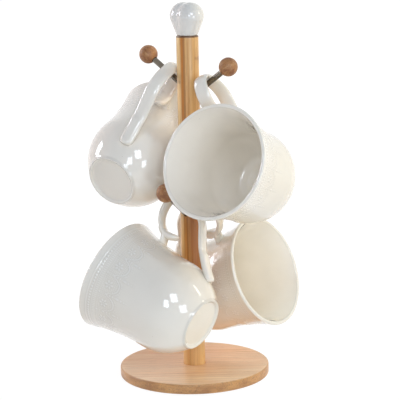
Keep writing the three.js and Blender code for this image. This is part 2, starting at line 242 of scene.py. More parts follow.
class Finish(Nodes):
    """One material: nodes that feed a Principled shader."""

    def __init__(self, name, carried=False, **sockets):
        self.carried = carried
        self.material = bpy.data.materials.new(name)
        self.material.use_nodes = True
        super().__init__(self.material.node_tree)
        self.shader = self.tree.nodes["Principled BSDF"]
        for socket, value in sockets.items():
            self.shader.inputs[socket.replace("_", " ")].default_value = value

    def set(self, socket, value):
        self.feed(self.shader.inputs[socket], value)

    def place(self):
        """Where a point lies on its own piece as it was made, or in the whole frame on a CAD solid."""
        if self.carried:
            return self.node("ShaderNodeTexCoord", output="Object")
        return self.node("ShaderNodeAttribute", {"attribute_name": "place"}, output="Vector")

    def stretch(self, vector, x, y, z):
        return self.node("ShaderNodeVectorMath", {"operation": "MULTIPLY"}, {0: vector, 1: (x, y, z)})

    def from_axis(self, vector):
        """How far a place lies from its own Z axis."""
        level = self.stretch(vector, 1, 1, 0)
        return self.node("ShaderNodeVectorMath", {"operation": "LENGTH"}, {0: level}, output=1)

    def part(self, vector, axis):
        return self.node("ShaderNodeSeparateXYZ", None, {"Vector": vector}, output=axis)

    def vector(self, x, y, z):
        return self.node("ShaderNodeCombineXYZ", None, {"X": x, "Y": y, "Z": z})

    def noise(self, vector, scale, detail=3.0):
        inputs = {"Vector": vector, "Scale": scale, "Detail": detail, "Roughness": 0.55}
        return self.node("ShaderNodeTexNoise", None, inputs)

    def chance(self, value):
        """A steady random number from 0 to 1 for each whole value."""
        return self.node("ShaderNodeTexWhiteNoise", {"noise_dimensions": "1D"}, {"W": value})

    def mix(self, factor, first, second):
        settings = {"data_type": "RGBA", "clamp_factor": True}
        return self.node("ShaderNodeMix", settings, {0: factor, 6: first, 7: second}, output=2)

    def made(self, colour, roughness, height, depth, strength):
        """Gives the shader its colour, roughness and bump of a depth in metres, and returns the material."""
        self.set("Base Color", colour)
        self.set("Roughness", roughness)
        bump = {"Strength": strength, "Distance": depth, "Height": height}
        self.set("Normal", self.node("ShaderNodeBump", None, bump))
        return self.material


# A mug's points carry "relief", the height of its lace from 0 to 1, and this mark on the cup's inside.
INSIDE_MARK = 2.0
FOOT_RADIUS = 22.8


def glaze(name, flat, raised, foot=None):
    """Clear gloss glaze on white clay, pooled beside the lace; foot is the radius of a bare foot ring."""
    f = Finish(name, IOR=1.5, Coat_Roughness=0.02)
    place = f.place()
    relief = f.node("ShaderNodeAttribute", {"attribute_name": "relief"}, output="Fac")
    pool = f.node("ShaderNodeAttribute", {"attribute_name": "pool"}, output="Fac")
    cloud = f.noise(place, 28.0, 3.0)
    fine = f.noise(place, 420.0, 2.0)
    specks = f.node("ShaderNodeTexVoronoi", None, {"Vector": place, "Scale": 150.0})
    pinhole = specks.rise(0.055, 0.03) * f.noise(place, 60.0, 1.0).rise(0.58, 0.62)
    inside = relief.rise(INSIDE_MARK - 0.6, INSIDE_MARK - 0.4)
    colour = f.mix(relief.rise(0.0, 0.7), flat, raised)
    # Painted light: the cup's inside is drawn lighter and warmer than the outside, standing in for the warm
    # light inside the cup.
    colour = f.mix(inside, colour, tint(254, 247, 234))
    colour = f.mix(cloud.rise(0.35, 0.75) * 0.35, colour, tint(235, 227, 213))
    colour = f.mix(pool * 0.4, colour, tint(176, 166, 148))
    colour = f.mix(pinhole * 0.5, colour, tint(170, 150, 125))
    if foot:
        height, out = f.part(place, "Z"), f.from_axis(place)
        bare = height.rise(0.0006, 0.0002)
        # Painted shade: dark lines round the foot's outer step and round the edge of its recess, where those
        # creases lie in shade.
        painted_foot_shade = (height - 0.0011).size().rise(0.0013, 0.0004) * out.rise(foot - 0.0006, foot - 0.0001)
        step = (out - (foot - 0.0030)).size().rise(0.0011, 0.0002) * height.rise(0.0026, 0.0020)
        recess = out.rise(foot - 0.0026, foot - 0.0032) * height.rise(0.0030, 0.0024)
        colour = f.mix(bare * 0.6, colour, tint(226, 221, 212))
        # The painted shade in the foot's creases.
        colour = f.mix(painted_foot_shade * 0.14 + step * 0.12, colour, tint(150, 143, 130))
        roughness = 0.05 + 0.04 * fine + 0.48 * bare + 0.3 * recess
        f.set("Coat Weight", 0.9 - 0.9 * bare - 0.7 * recess)
    else:
        roughness = 0.06 + 0.04 * fine
        f.set("Coat Weight", 0.9 + 0.1 * fine)
    return f.made(colour, roughness, f.noise(place, 70.0, 2.0) + 0.12 * fine - 0.6 * pinhole, 0.00022, 0.6)


# Sizes inside the finishes are in metres, as the shader has them.
LAYER_THICKNESS, JOINT_SPACING = 0.0195, 0.19
TONE_EDGE = 0.0007


def bamboo(name, along, strip_width, light, dark, tones=(), joints=0.0, carried=False):
    """Laminated bamboo: strips along one axis, long fibres, dark flecks and faint joint bars.

    tones says how much darker the strips get at each place across; joints is how dark the bars are.
    """
    f = Finish(name, carried, Specular_IOR_Level=0.45, Coat_Weight=0.25, Coat_Roughness=0.25)
    place = f.place()
    x, y, z = (f.part(place, axis) for axis in "XYZ")
    length, across, depth = (z, x, y) if along == "Z" else (x, y, z)
    wander = 0.0006 * f.noise(f.vector(length * 12.0, 0.0, 0.0), 1.0, 1.0)
    number = (across + wander) / strip_width
    strip = number.floor()
    layer = (depth / LAYER_THICKNESS).floor()
    offset = f.chance(strip * 3.0 + layer * 17.0 + 11.0)
    shade = f.chance(strip * 7.0 + layer * 31.0 + 3.0)
    if tones:
        shade = 0.35 * shade + tones[0]
        for edge, change in tones[1:]:
            shade = shade + change * (across + wander).rise(edge - TONE_EDGE, edge + TONE_EDGE)
    seam = (number.fraction() - 0.5).size().rise(0.47, 0.5)

    def streaks(across_scale, along_scale, detail):
        shifted = f.vector(across * across_scale, depth * across_scale, length * along_scale + offset * 40.0)
        return f.noise(shifted, 1.0, detail)

    broad = streaks(420.0, 4.0, 3.0)
    fibres = streaks(1500.0, 14.0, 4.0)
    flecks = streaks(2600.0, 70.0, 2.0).rise(0.60, 0.70)
    colour = f.mix(shade * 0.6 + broad.rise(0.25, 0.75) * 0.4, light, dark)
    colour = f.mix(fibres.rise(0.40, 0.70) * 0.4, colour, tint(170, 112, 58))
    colour = f.mix(flecks * 0.5, colour, tint(126, 76, 36))
    colour = f.mix(seam * 0.4, colour, tint(132, 84, 44))
    height = 0.5 * fibres - 0.5 * flecks - 0.6 * seam
    if joints:
        along_joint = (length / JOINT_SPACING + offset).fraction()
        joint = (along_joint - 0.5 + 0.012 * f.noise(place, 260.0, 2.0)).size()
        bar = joint.rise(0.012, 0.002)
        colour = f.mix(joint.rise(0.06, 0.0) * 0.25, colour, tint(160, 104, 54))
        colour = f.mix(bar * joints, colour, tint(126, 76, 40))
        height = height + 0.5 * bar
    return f, place, colour, height, 0.12 * fibres + 0.08 * flecks


def post_bamboo(name, top):
    """The post: a pale strip, a brown one beside it, painted shade at mid-height, painted light towards its
    foot, and painted shade along its top edge under the knob.
    """
    tones = (-0.12, (-0.0060, 0.95), (-0.0030, -0.30), (0.0016, -0.20), (0.0058, -0.22))
    light, dark = tint(255, 222, 156), tint(192, 114, 28)
    f, place, colour, height, grain = bamboo(name, "Z", 0.0062, light, dark, tones, 0.3)
    across, up = f.part(place, "X"), f.part(place, "Z")
    line = (across + 0.0034).size().rise(0.0011, 0.0003) * f.noise(f.stretch(place, 9.0, 9.0, 9.0), 1.0)
    # Painted shade: the strips right of the middle darkened from 40 to 215 mm up, where the mugs shade the
    # post.
    painted_mid_shade = up.rise(0.04, 0.08) * up.rise(0.215, 0.185) * across.rise(-0.007, 0.002)
    colour = f.mix(line * 0.9, colour, tint(136, 84, 42))
    colour = f.mix(painted_mid_shade * 0.8, colour, tint(158, 84, 6))
    # Painted light: the post drawn paler towards its foot, below the mugs' shade.
    colour = f.mix(up.rise(0.045, 0.030) * 0.4, colour, tint(255, 210, 144))
    # Painted shade: a dark band along the post's top edge, in the gap under the knob.
    colour = f.mix(up.rise(top - 0.0016, top - 0.0010) * 0.85, colour, tint(84, 52, 28))
    return f.made(colour, 0.3 + grain, height, 0.00012, 0.5)


def disc_bamboo(name, radius):
    """The round foot: pale across its top, golden and full of open fibre ends round its edge."""
    tones = (-0.1, (-0.040, 0.2), (-0.010, 0.3), (0.030, 0.4))
    light, dark = tint(255, 230, 196), tint(236, 184, 132)
    f, place, colour, height, grain = bamboo(name, "X", 0.0124, light, dark, tones)
    cloud = f.noise(f.stretch(place, 14.0, 30.0, 14.0), 1.0, 3.0)
    colour = f.mix(cloud.rise(0.5, 0.75) * 0.5, colour, tint(232, 176, 118))
    edge = f.from_axis(place).rise(radius - 0.0012, radius - 0.0002)
    ends = f.noise(f.stretch(place, 900.0, 900.0, 1400.0), 1.0, 3.0).rise(0.52, 0.66)
    blotch = f.noise(f.stretch(place, 60.0, 60.0, 160.0), 1.0, 3.0)
    side = f.mix(blotch.rise(0.35, 0.7), tint(208, 152, 90), tint(170, 114, 60))
    side = f.mix(ends * 0.65, side, tint(118, 76, 40))
    return f.made(f.mix(edge * 0.9, colour, side), 0.36 + grain, height - ends * edge, 0.00012, 0.5)


def dowel_wood(name):
    """A plain dowel of pale wood, as bought, on the CAD's own solid."""
    light, dark = tint(216, 180, 132), tint(200, 160, 112)
    f, _, colour, height, grain = bamboo(name, "Z", 0.004, light, dark, carried=True)
    return f.made(colour, 0.5 + grain, height, 0.00012, 0.5)


def stained_wood(name):
    """Turned wood with a brown stain: year rings along the peg, cloudy patches and open pores."""
    f = Finish(name, Specular_IOR_Level=0.4, Coat_Weight=0.15, Coat_Roughness=0.35)
    place = f.place()
    grain = f.node("ShaderNodeObjectInfo", output="Random")
    x, y, z = (f.part(place, axis) for axis in "XYZ")
    bent = f.noise(f.stretch(place, 60.0, 60.0, 30.0), 1.0, 2.0)
    rings = (x * 620.0 + y * 240.0 + bent * 3.2 + grain * 9.0).sine()
    blotch = f.noise(f.vector(x * 230.0 + grain * 70.0, y * 230.0, z * 130.0), 1.0, 3.0)
    fibres = f.noise(f.stretch(place, 1500.0, 1500.0, 130.0), 1.0, 4.0)
    pores = f.noise(f.stretch(place, 2600.0, 2600.0, 300.0), 1.0, 2.0).rise(0.58, 0.66)
    colour = f.mix(rings.rise(-1.0, 1.0) * 0.6, tint(178, 127, 81), tint(140, 90, 54))
    colour = f.mix(blotch.rise(0.48, 0.66) * 0.75, colour, tint(134, 82, 50))
    colour = f.mix(blotch.rise(0.46, 0.30) * 0.6, colour, tint(202, 160, 112))
    colour = f.mix(fibres.rise(0.4, 0.75) * 0.4, colour, tint(122, 76, 48))
    colour = f.mix(pores * 0.6, colour, tint(82, 46, 28))
    return f.made(colour, 0.42 + 0.12 * fibres, 0.4 * fibres - 0.8 * pores, 0.00012, 0.6)


def nickel(name):
    """Polished nickel plate over a drawn rod: faint lines along it and slight cloudiness."""
    f = Finish(name, Metallic=1.0)
    place = f.place()
    lines = f.noise(f.stretch(place, 2600.0, 2600.0, 25.0), 1.0, 3.0)
    cloud = f.noise(place, 120.0, 2.0)
    colour = f.mix(cloud.rise(0.3, 0.7) * 0.5 + lines * 0.3, tint(88, 82, 76), tint(142, 133, 120))
    return f.made(colour, 0.07 + 0.08 * lines, lines, 0.00003, 0.4)


def zinc(name):
    """Zinc plate: bright and slightly cloudy."""
    f = Finish(name, Metallic=1.0)
    place = f.place()
    cloud = f.noise(place, 900.0, 3.0)
    colour = f.mix(cloud.rise(0.3, 0.7), tint(196, 198, 200), tint(168, 171, 176))
    return f.made(colour, 0.28 + 0.2 * cloud, cloud, 0.00005, 0.3)


def rubber(name):
    """Matt moulded rubber with a fine grain and a little dust."""
    f = Finish(name, Specular_IOR_Level=0.3)
    place = f.place()
    grain = f.noise(place, 2400.0, 3.0)
    dust = f.noise(place, 180.0, 3.0)
    colour = f.mix(dust.rise(0.45, 0.8) * 0.4, tint(44, 42, 40), tint(86, 82, 78))
    return f.made(colour, 0.72 + 0.2 * grain, grain, 0.00006, 0.5)


finishes = {
    "mug": glaze("mug_glaze", tint(243, 237, 225), tint(248, 244, 236), FOOT_RADIUS * MM),
    "knob": glaze("knob_glaze", tint(226, 223, 217), tint(230, 228, 224)),
    "post": post_bamboo("post_bamboo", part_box("post")[1].z),
    "disc": disc_bamboo("disc_bamboo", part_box("base_disc")[1].x),
    "dowel": dowel_wood("dowel_wood"),
    "ball": stained_wood("ball_stain"),
    "rod": nickel("peg_plate"),
    "screw": zinc("screw_plate"),
    "pad": rubber("pad_rubber"),
}


def put(piece, body, finish, replaced, angle=38):
    """Sets a piece in place, gives it its finish, and lets it ride on its body for a CAD node."""
    mesh = piece.data
    own = np.empty(len(mesh.vertices) * 3)
    mesh.vertices.foreach_get("co", own)
    mesh.attributes.new("place", "FLOAT_VECTOR", "POINT").data.foreach_set("vector", own)
    mesh.transform(piece.matrix_basis)
    piece.matrix_basis = Matrix.Identity(4)
    mesh.materials.clear()
    mesh.materials.append(finishes[finish])
    soften(piece, angle)
    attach(piece, body)
    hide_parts(replaced)


def pointing(azimuth, elevation):
    """A unit vector at an azimuth from +X and an elevation, in radians."""
    level = math.cos(elevation)
    return Vector((math.cos(azimuth) * level, math.sin(azimuth) * level, math.sin(elevation)))


# ---- Sizes of the stand ----

disc_low, disc_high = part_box("base_disc")
post_low, post_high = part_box("post")
pad_low, pad_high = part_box("foot_pad_1")
knob_low, knob_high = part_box("knob")
DISC_RADIUS = (disc_high.x - disc_low.x) / 2 / MM
DISC_BOTTOM, DISC_TOP = disc_low.z / MM, disc_high.z / MM
POST_RADIUS = 9.5
POST_BOTTOM, POST_TOP = post_low.z / MM, post_high.z / MM
PAD_RADIUS = (pad_high.x - pad_low.x) / 2 / MM
PAD_HEIGHT = pad_high.z / MM
KNOB_HEIGHT = (knob_high.z - knob_low.z) / MM
FIT = 0.2
END_GAP = 0.3

# ---- Disc and pads ----

SCREW_HEAD_RADIUS, SCREW_SHANK_RADIUS, SCREW_HEAD_HEIGHT = 4.4, 2.0, 2.6
EDGE = 1.4
SOCKET_CHAMFER = 0.3
PAD_ROUND = 0.35
edge_centre = DISC_RADIUS - EDGE
sink = SCREW_HEAD_RADIUS + FIT
bore = SCREW_SHANK_RADIUS + FIT
sink_top = DISC_BOTTOM + END_GAP + SCREW_HEAD_HEIGHT + FIT
disc_outline = [
    (sink, DISC_BOTTOM),
    *[(r, DISC_BOTTOM) for r in np.linspace(sink + 4, edge_centre - 4, 8)],
    *arc((edge_centre, DISC_BOTTOM + EDGE), EDGE, -90, 0, 8),
    *arc((edge_centre, DISC_TOP - EDGE), EDGE, 0, 90, 8),
    *[(r, DISC_TOP) for r in np.linspace(edge_centre - 4, POST_RADIUS + 4, 8)],
    (POST_RADIUS + FIT + SOCKET_CHAMFER, DISC_TOP),
    (POST_RADIUS + FIT, DISC_TOP - SOCKET_CHAMFER),
    (POST_RADIUS + FIT, POST_BOTTOM),
    (bore, POST_BOTTOM),
    (bore, sink_top),
    (sink, DISC_BOTTOM + END_GAP),
]
disc = turned("round_foot", disc_outline, 192, closed=True)
put(disc, "stand", "disc", "base_disc")

for i in range(1, 5):
    low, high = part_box(f"foot_pad_{i}")
    centre = (low + high) / 2
    pad_outline = [
        (0, 0),
        (PAD_RADIUS - 0.4, 0),
        *arc((PAD_RADIUS - PAD_ROUND, PAD_ROUND), PAD_ROUND, -60, 0, 4),
        (PAD_RADIUS, PAD_HEIGHT - 0.15),
        (PAD_RADIUS - 0.15, PAD_HEIGHT),
        (0, PAD_HEIGHT),
    ]
    pad = turned(f"rubber_pad_{i}", pad_outline, 48)
    pad.matrix_basis = Matrix.Translation((centre.x, centre.y, 0))
    put(pad, "stand", "pad", f"foot_pad_{i}")

# ---- Pegs: places from the swing joints ----

PEG_RADIUS = 2.5
PEG_REACH = 49.2
BALL_RADIUS = 8.0
BALL_BORE_DEPTH = 8.5
PEG_END = PEG_REACH - BALL_RADIUS + BALL_BORE_DEPTH
BALL_MOUTH_CHAMFER = 0.35

swings = {j["child"][len("peg_"):]: j for j in frame["joints"] if j["name"].endswith("_swing")}


def peg_turn(joint):
    """Turns local Z on to the peg, with local X level."""
    outward = Vector(joint["axis"]).normalized()
    level = Vector((0, 0, 1)).cross(outward).normalized()
    up = outward.cross(level)
    return Matrix((level, up, outward)).transposed().to_4x4()


def peg_rod():
    ends = [(0, 0), (PEG_RADIUS - 0.4, 0), (PEG_RADIUS - 0.1, 0.15), (PEG_RADIUS, 0.5)]
    middle = [(PEG_RADIUS, z) for z in np.linspace(2, PEG_END - 2, 16)]
    top = [(r, PEG_END - z) for r, z in reversed(ends)]
    return skin([ring(r, z, 48) for r, z in ends + middle + top])


def peg_ball():
    bore = PEG_RADIUS + FIT
    mouth = math.asin((bore + BALL_MOUTH_CHAMFER) / BALL_RADIUS)
    low = PEG_REACH - BALL_RADIUS * math.cos(mouth)
    outside = arc((0, PEG_REACH), BALL_RADIUS, math.degrees(mouth) - 90, 90, 48)[:-1]
    outline = [(0, PEG_END + END_GAP), (bore, PEG_END + END_GAP), (bore, low + 0.25), *outside]
    outline.append((0, PEG_REACH + BALL_RADIUS))
    return skin([ring(r, z, 72) for r, z in outline])


rod_skin, ball_skin = peg_rod(), peg_ball()
for side, joint in swings.items():
    where = Matrix.Translation(Vector(joint["pos_m"])) @ peg_turn(joint)
    rod = new_piece(f"metal_peg_{side}", *rod_skin)
    rod.matrix_basis = where
    put(rod, f"peg_{side}", "rod", f"peg_rod_{side}")
    ball = new_piece(f"wooden_ball_{side}", *ball_skin)
    ball.matrix_basis = where
    put(ball, f"peg_{side}", "ball", f"peg_ball_{side}")

# ---- Post ----

CHAMFER = 0.7
DOWEL_RADIUS, DOWEL_LENGTH = 4.0, 24.0
SCREW_LENGTH = 32.0
DRILL_LENGTH = 20.0
pilot_top = DISC_BOTTOM + END_GAP + SCREW_LENGTH + END_GAP
dowel_floor = POST_TOP - DOWEL_LENGTH / 2 - END_GAP
dowel_bore = DOWEL_RADIUS + FIT
post_outline = [
    (0, pilot_top),
    (bore, pilot_top),
    (bore, POST_BOTTOM),
    (POST_RADIUS - CHAMFER, POST_BOTTOM),
    *arc((POST_RADIUS - CHAMFER, POST_BOTTOM + CHAMFER), CHAMFER, -60, 0, 4),
    *[(POST_RADIUS, z) for z in np.linspace(POST_BOTTOM + 4, POST_TOP - 4, 60)],
    *arc((POST_RADIUS - CHAMFER, POST_TOP - CHAMFER), CHAMFER, 0, 60, 4),
    (POST_RADIUS - CHAMFER, POST_TOP),
    (dowel_bore, POST_TOP),
    (dowel_bore, dowel_floor),
    (0, dowel_floor),
]
post = turned("bamboo_post", post_outline, 96)
drills = []
peg_bore = PEG_RADIUS + FIT
drill_outline = [(0, -END_GAP), (peg_bore, -END_GAP), (peg_bore, DRILL_LENGTH), (0, DRILL_LENGTH)]
for joint in swings.values():
    drill = turned("drill", drill_outline, 48)
    drill.matrix_world = Matrix.Translation(Vector(joint["pos_m"])) @ peg_turn(joint)
    drills.append(drill)
combine(post, drills, "DIFFERENCE")
put(post, "stand", "post", "post", angle=30)

# ---- Knob ----

LOBE_RADIUS, LOBE_SPREAD, LOBE_BLEND = 11.9, 4.2, 2.4
TAPER_RADIUS = 7.7
GROOVE_DEPTH, GROOVE_WIDTH = 0.55, 2.4
KNOB_TURN = math.radians(-50)
KNOB_RINGS, KNOB_POINTS = 97, 128
HALVINGS = 34
LIP_ROUND = 0.9


def round_cone(p, a, b, radius_a, radius_b):
    """How far points lie outside a cone with round ends, from a to b."""
    axis = b - a
    along = np.clip((p - a) @ axis / (axis @ axis), 0, 1)
    centre = a + along[:, None] * axis
    return np.linalg.norm(p - centre, axis=1) - (radius_a + (radius_b - radius_a) * along)


def smooth_min(a, b, blend):
    """The smaller of two, run together smoothly where they differ by less than the blend."""
    h = np.maximum(blend - np.abs(a - b), 0) / blend
    return np.minimum(a, b) - h * h * blend / 4


def heart(p):
    """How far points lie outside two grooved lobes that run into one round neck, level at the bottom."""
    lobe_height = KNOB_HEIGHT - LOBE_RADIUS
    neck = np.array([0, 0, -2.0])
    lobes = [
        round_cone(p, np.array([s * LOBE_SPREAD, 0, lobe_height]), neck, LOBE_RADIUS, TAPER_RADIUS)
        for s in (-1, 1)
    ]
    groove = GROOVE_DEPTH * np.exp(-((p[:, 0] / GROOVE_WIDTH) ** 2)) * np.clip((p[:, 2] - 1) / 8, 0, 1)
    return -smooth_min(-smooth_min(*lobes, LOBE_BLEND) - groove, p[:, 2], LIP_ROUND * 2)


def heart_knob():
    """The heart's skin, found along rays from its middle by halving."""
    centre = np.array([0, 0, KNOB_HEIGHT / 2])
    rings = []
    for polar in np.linspace(0, math.pi, KNOB_RINGS):
        count = 1 if polar in (0, math.pi) else KNOB_POINTS
        angle = np.arange(count) / KNOB_POINTS * TURN
        across = math.sin(polar) if count > 1 else 0.0
        way = np.stack([across * np.cos(angle), across * np.sin(angle), np.full(count, -math.cos(polar))], 1)
        near, far = np.zeros(count), np.full(count, 2 * KNOB_HEIGHT)
        for _ in range(HALVINGS):
            middle = (near + far) / 2
            inside = heart(centre + way * middle[:, None]) < 0
            near, far = np.where(inside, middle, near), np.where(inside, far, middle)
        rings.append(centre + way * near[:, None])
    return skin(rings)


knob = new_piece("heart_knob", *heart_knob())
hole_top = DOWEL_LENGTH / 2 + END_GAP
hole = turned("hole", [(0, -5), (dowel_bore, -5), (dowel_bore, hole_top), (0, hole_top)], 48)
combine(knob, [hole], "DIFFERENCE")
knob.matrix_basis = Matrix.Translation((0, 0, POST_TOP * MM)) @ Matrix.Rotation(KNOB_TURN, 4, "Z")
put(knob, "stand", "knob", "knob", angle=50)

dowel_materials = frame["nodes"]["knob_dowel"].data.materials
dowel_materials.clear()
dowel_materials.append(finishes["dowel"])

# ---- Screw ----

THREAD_PITCH, THREAD_ROOT, THREAD_CREST = 1.8, 1.45, 2.05
TIP_LENGTH = 5.0
DRIVE_RADIUS, DRIVE_DEPTH, DRIVE_POINT = 1.5, 1.8, 0.5
SCREW_POINTS = 48


def base_screw():
    """Head down at height 0, a plain neck, and a thread that rises one pitch a turn up to the tip."""
    outline = [(0, 0), (SCREW_HEAD_RADIUS - 0.3, 0), (SCREW_HEAD_RADIUS, 0.25)]
    outline += [(SCREW_SHANK_RADIUS, SCREW_HEAD_HEIGHT), (SCREW_SHANK_RADIUS - 0.1, SCREW_HEAD_HEIGHT + 1)]
    rings = [ring(r, z, SCREW_POINTS) for r, z in outline]
    angle = np.arange(SCREW_POINTS) / SCREW_POINTS * TURN
    for z in np.arange(SCREW_HEAD_HEIGHT + 2, SCREW_LENGTH - 0.2, THREAD_PITCH / 10):
        turn = (z / THREAD_PITCH - angle / TURN) % 1.0
        crest = np.clip(1 - np.abs(turn - 0.5) / 0.28, 0, 1)
        taper = min(1.0, (SCREW_LENGTH - z) / TIP_LENGTH)
        radius = (THREAD_ROOT + (THREAD_CREST - THREAD_ROOT) * crest) * taper
        rings.append(np.stack([radius * np.cos(angle), radius * np.sin(angle), np.full(SCREW_POINTS, z)], 1))
    rings.append(ring(0, SCREW_LENGTH, 1))
    return skin(rings)


screw = new_piece("countersunk_screw", *base_screw())
drive_outline = [(0, -1), (DRIVE_RADIUS, -1), (DRIVE_RADIUS, DRIVE_DEPTH), (0, DRIVE_DEPTH + DRIVE_POINT)]
drive = turned("drive", drive_outline, 6)
combine(screw, [drive], "DIFFERENCE")
screw.matrix_basis = Matrix.Translation((0, 0, (DISC_BOTTOM + END_GAP) * MM))
put(screw, "stand", "screw", "base_screw")

# ---- Mug body ----

MUG_HEIGHT, RIM_RADIUS = 93.6, 48.93
BELLY_RADIUS, BELLY_HEIGHT = 40.8, 38.0
WALL, LIP, FLOOR = 3.8, 3.4, 6.2
RECESS = 1.8

LOWER = [
    (FOOT_RADIUS + 1.25, 2.5),
    (FOOT_RADIUS + 10.1, 10),
    (BELLY_RADIUS, 22),
    (BELLY_RADIUS, BELLY_HEIGHT),
]
UPPER = [
    (BELLY_RADIUS, BELLY_HEIGHT),
    (BELLY_RADIUS, 62),
    (BELLY_RADIUS + 3.7, 80),
    (RIM_RADIUS, MUG_HEIGHT - LIP / 2),
]

fine_t = np.linspace(0, 1, 400)
outside_line = np.concatenate([bezier(LOWER, fine_t), bezier(UPPER, fine_t)[1:]])
outside_length = np.concatenate([[0], np.cumsum(np.linalg.norm(np.diff(outside_line, axis=0), axis=1))])


def outside_at(length):
    """Radius and height on the bell's outside, a given way up from its foot."""
    length = np.asarray(length, float)
    return np.stack([np.interp(length, outside_length, outside_line[:, k]) for k in (0, 1)], -1)


def wall_radius(height):
    """The bell's outside radius at a height."""
    return np.interp(height, outside_line[:, 1], outside_line[:, 0])


def wall_slope(height):
    """How fast the bell widens with height."""
    return (wall_radius(height + 0.2) - wall_radius(height - 0.2)) / 0.4


BODY_POINTS, NEAR_POINTS, LACE_POINTS = 120, 240, 480
BODY_STEP, NEAR_STEP, LACE_STEP, RIM_STEP = 1.3, 0.7, 0.5, 0.8
REPEATS = 16
RELIEF_HEIGHT = 0.32
LACE_TOP, LACE_BOTTOM = 3.0, 44.0
HANDLE_CLEAR, HANDLE_FADE = 8.5, 1.5
BEAD_ROW, COMB_ROW, CORD_ROWS = 7.6, 12.2, (5.0, 10.0)
ARCH_TOP, ARCH_DROP, SCALE_DROP = 15.0, 15.5, 2.5
FLOWER_ROW = 21.0
CUSP_BEADS = ((22.0, 1.25), (25.0, 1.0), (27.6, 0.8), (36.0, 0.9), (39.0, 0.7), (41.5, 0.55))
DROP_ROW = 31.8


def dome(distance, width):
    """1 at a line or point and 0 from a width away."""
    return np.clip(1 - (distance / width) ** 2, 0, 1)


def lace(across, down, pitch):
    """Height of the lace, 0 to 1, at a place across one repeat and down from the rim, in millimetres."""
    half = pitch / 2
    share = np.clip(np.abs(across) / half, 0, 1)
    slope = np.sqrt(1 + (ARCH_DROP / half * share) ** 2)
    arch = ARCH_TOP + ARCH_DROP * np.sqrt(np.clip(1 - share**2.2, 0, 1))
    scallop = ARCH_TOP + SCALE_DROP + ARCH_DROP * np.sqrt(np.clip(1 - (share * 0.93) ** 2.2, 0, 1))
    beads = np.mod(across + half, pitch / 7) - pitch / 14
    comb = np.mod(across + half, pitch / 10) - pitch / 20
    turn = np.arctan2(across, ARCH_DROP - (down - ARCH_TOP - SCALE_DROP))
    scales = np.mod(turn * 14 + 50, 2.0) - 1.0
    angle = np.arctan2(across, down - FLOWER_ROW)
    spread = np.hypot(across, down - FLOWER_ROW)
    petal = np.abs(np.mod(angle + math.pi / 6, math.pi / 3) - math.pi / 6) * spread
    net = np.hypot(np.mod(across + 0.8, 1.6) - 0.8, np.mod(down, 1.6) - 0.8)
    under_arch = (down > ARCH_TOP - 0.4) & (down < arch - 1.2) & (spread > 4.8)
    cusp = half - np.abs(across)
    drop = np.hypot(cusp / (0.35 + 0.16 * np.clip(down - 29.0, 0, 5)), (down - DROP_ROW) / 2.6)
    motifs = [
        0.55 * dome(down - CORD_ROWS[0], 0.55),
        dome(np.hypot(beads, down - BEAD_ROW), 0.95),
        0.55 * dome(down - CORD_ROWS[1], 0.5),
        0.6 * dome(comb, 0.45) * (np.abs(down - COMB_ROW) < 1.2),
        0.8 * dome((down - arch) / slope, 0.6),
        0.7 * dome(np.hypot((down - scallop) / slope, scales), 0.75),
        0.95 * dome(np.hypot(petal / 1.05, (spread - 2.5) / 1.7), 1.0),
        dome(spread, 0.85),
        0.7 * dome(net, 0.55) * under_arch,
        *[0.85 * dome(np.hypot(cusp, down - row), size) for row, size in CUSP_BEADS],
        0.8 * dome(drop, 1.0),
    ]
    return np.max(motifs, axis=0)


def hollows(rows):
    """How deep each point lies beside raised lines: the blurred lace less the lace itself."""
    near = rows
    for axis in (0, 1):
        near = sum(np.roll(near, step, axis) for step in range(-2, 3)) / 5
    return np.clip(near * 1.6 - rows, 0, 1)


def lace_ring(length):
    """A ring of the band of lace, a given way up the outside, and the lace's height along it."""
    angle = np.arange(LACE_POINTS) / LACE_POINTS * TURN
    share = np.mod(angle / TURN * REPEATS, 1.0) - 0.5
    (r, z), (r2, z2) = outside_at(length), outside_at(length + 0.1)
    normal = np.array([z2 - z, r - r2]) / math.hypot(z2 - z, r2 - r)
    pitch = TURN * r / REPEATS
    height = lace(share * pitch, np.full(LACE_POINTS, outside_length[-1] - length), pitch)
    from_handle = np.abs(np.mod(angle + math.pi, TURN) - math.pi) * r
    height = height * np.clip((from_handle - HANDLE_CLEAR) / HANDLE_FADE, 0, 1)
    out = r + normal[0] * height * RELIEF_HEIGHT
    up = z + normal[1] * height * RELIEF_HEIGHT
    return np.stack([out * np.cos(angle), out * np.sin(angle), up], 1), height


def foot_outline():
    """From the middle of the glazed recess out to the ring it stands on, and up round its edge."""
    recess = FOOT_RADIUS - 2.9
    return [
        (0, RECESS),
        *[(r, RECESS) for r in np.linspace(3, recess - 1.5, 6)],
        (recess - 0.6, RECESS - 0.12),
        (recess, RECESS - 0.45),
        (recess + 0.8, 0.8),
        (recess + 1.5, 0.28),
        (FOOT_RADIUS - 0.95, 0.0),
        (FOOT_RADIUS - 0.5, 0.0),
        (FOOT_RADIUS - 0.1, 0.2),
        (FOOT_RADIUS + 0.15, 0.7),
        (FOOT_RADIUS + 0.45, 1.5),
    ]


